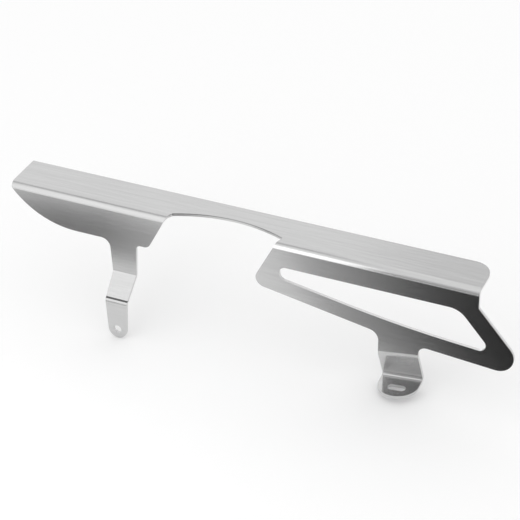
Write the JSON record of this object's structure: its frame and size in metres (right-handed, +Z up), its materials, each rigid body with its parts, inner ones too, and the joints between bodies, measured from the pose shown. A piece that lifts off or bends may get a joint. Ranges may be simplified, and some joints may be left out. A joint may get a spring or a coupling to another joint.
{
  "type": "chain guard",
  "caption": "Folded sheet-metal chain guard with an arc cut, a windowed rear panel, a joggled leg with a bolt hole and a cranked tab with a slotted foot.",
  "frame": {"origin": "centre of the front bolt hole, on the inner face of the leg, where the leg bears on its boss", "axes": "+X along the long bend towards the rear wheel, +Y inwards to the wheel, +Z up, square to the top flange"},
  "size_m": [0.4299, 0.0545, 0.1159],
  "materials": {
    "sheet": "brushed along the length"
  },
  "bodies": {
    "root": {"chain_guard": "sheet"}
  },
  "joints": []
}
